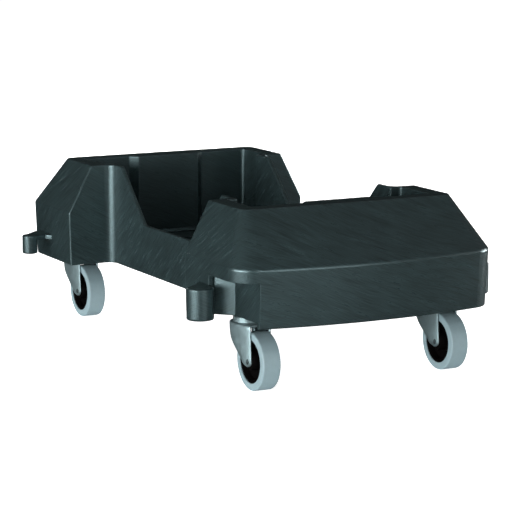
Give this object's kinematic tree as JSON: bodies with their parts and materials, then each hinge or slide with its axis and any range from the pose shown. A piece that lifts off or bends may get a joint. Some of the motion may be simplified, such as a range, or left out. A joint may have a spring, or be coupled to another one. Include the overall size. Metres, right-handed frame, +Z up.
{
  "type": "waste container trolley",
  "caption": "Low moulded trolley for a narrow waste container: hooded end boxes, a railed cradle between them, and small swivel casters under the corners.",
  "frame": {"origin": "on the floor, under the middle of the body", "axes": "+Z up, +Y along the trolley towards the far end box, +X to the right of someone who faces +Y"},
  "size_m": [0.4604, 0.7416, 0.232],
  "materials": {
    "body_plastic": "textured moulding",
    "caster_zinc": "satin zinc plate",
    "bearing_steel": "bright",
    "axle_steel": "zinc plate",
    "hub_plastic": "moulded",
    "tread_rubber": "satin"
  },
  "bodies": {
    "chassis": {"trolley_body": "body_plastic", "caster_stem_near_left": "bearing_steel", "stem_sleeve_near_left": "bearing_steel", "bearing_cap_near_left": "caster_zinc", "bearing_balls_near_left": "bearing_steel", "caster_stem_near_right": "bearing_steel", "stem_sleeve_near_right": "bearing_steel", "bearing_cap_near_right": "caster_zinc", "bearing_balls_near_right": "bearing_steel", "caster_stem_far_left": "bearing_steel", "stem_sleeve_far_left": "bearing_steel", "bearing_cap_far_left": "caster_zinc", "bearing_balls_far_left": "bearing_steel", "caster_stem_far_right": "bearing_steel", "stem_sleeve_far_right": "bearing_steel", "bearing_cap_far_right": "caster_zinc", "bearing_balls_far_right": "bearing_steel"},
    "fork_near_left": {"caster_fork_near_left": "caster_zinc", "axle_bolt_near_left": "axle_steel", "axle_nut_near_left": "axle_steel", "wheel_bushing_near_left": "bearing_steel"},
    "wheel_near_left": {"wheel_hub_near_left": "hub_plastic", "wheel_tread_near_left": "tread_rubber"},
    "fork_near_right": {"caster_fork_near_right": "caster_zinc", "axle_bolt_near_right": "axle_steel", "axle_nut_near_right": "axle_steel", "wheel_bushing_near_right": "bearing_steel"},
    "wheel_near_right": {"wheel_hub_near_right": "hub_plastic", "wheel_tread_near_right": "tread_rubber"},
    "fork_far_left": {"caster_fork_far_left": "caster_zinc", "axle_bolt_far_left": "axle_steel", "axle_nut_far_left": "axle_steel", "wheel_bushing_far_left": "bearing_steel"},
    "wheel_far_left": {"wheel_hub_far_left": "hub_plastic", "wheel_tread_far_left": "tread_rubber"},
    "fork_far_right": {"caster_fork_far_right": "caster_zinc", "axle_bolt_far_right": "axle_steel", "axle_nut_far_right": "axle_steel", "wheel_bushing_far_right": "bearing_steel"},
    "wheel_far_right": {"wheel_hub_far_right": "hub_plastic", "wheel_tread_far_right": "tread_rubber"}
  },
  "joints": [
    {"name": "swivel_near_left", "type": "hinge", "parent": "chassis", "child": "fork_near_left", "pos_m": [-0.1395, -0.278, 0.0852], "axis": [0, 0, 1], "continuous": true},
    {"name": "wheel_spin_near_left", "type": "hinge", "parent": "fork_near_left", "child": "wheel_near_left", "pos_m": [-0.1395, -0.3067, 0.0381], "axis": [1, 0, 0], "continuous": true},
    {"name": "swivel_near_right", "type": "hinge", "parent": "chassis", "child": "fork_near_right", "pos_m": [0.1395, -0.278, 0.0852], "axis": [0, 0, 1], "continuous": true},
    {"name": "wheel_spin_near_right", "type": "hinge", "parent": "fork_near_right", "child": "wheel_near_right", "pos_m": [0.1395, -0.3067, 0.0381], "axis": [1, 0, 0], "continuous": true},
    {"name": "swivel_far_left", "type": "hinge", "parent": "chassis", "child": "fork_far_left", "pos_m": [-0.1395, 0.278, 0.0852], "axis": [0, 0, 1], "continuous": true},
    {"name": "wheel_spin_far_left", "type": "hinge", "parent": "fork_far_left", "child": "wheel_far_left", "pos_m": [-0.1395, 0.2493, 0.0381], "axis": [1, 0, 0], "continuous": true},
    {"name": "swivel_far_right", "type": "hinge", "parent": "chassis", "child": "fork_far_right", "pos_m": [0.1395, 0.278, 0.0852], "axis": [0, 0, 1], "continuous": true},
    {"name": "wheel_spin_far_right", "type": "hinge", "parent": "fork_far_right", "child": "wheel_far_right", "pos_m": [0.1395, 0.2493, 0.0381], "axis": [1, 0, 0], "continuous": true}
  ]
}
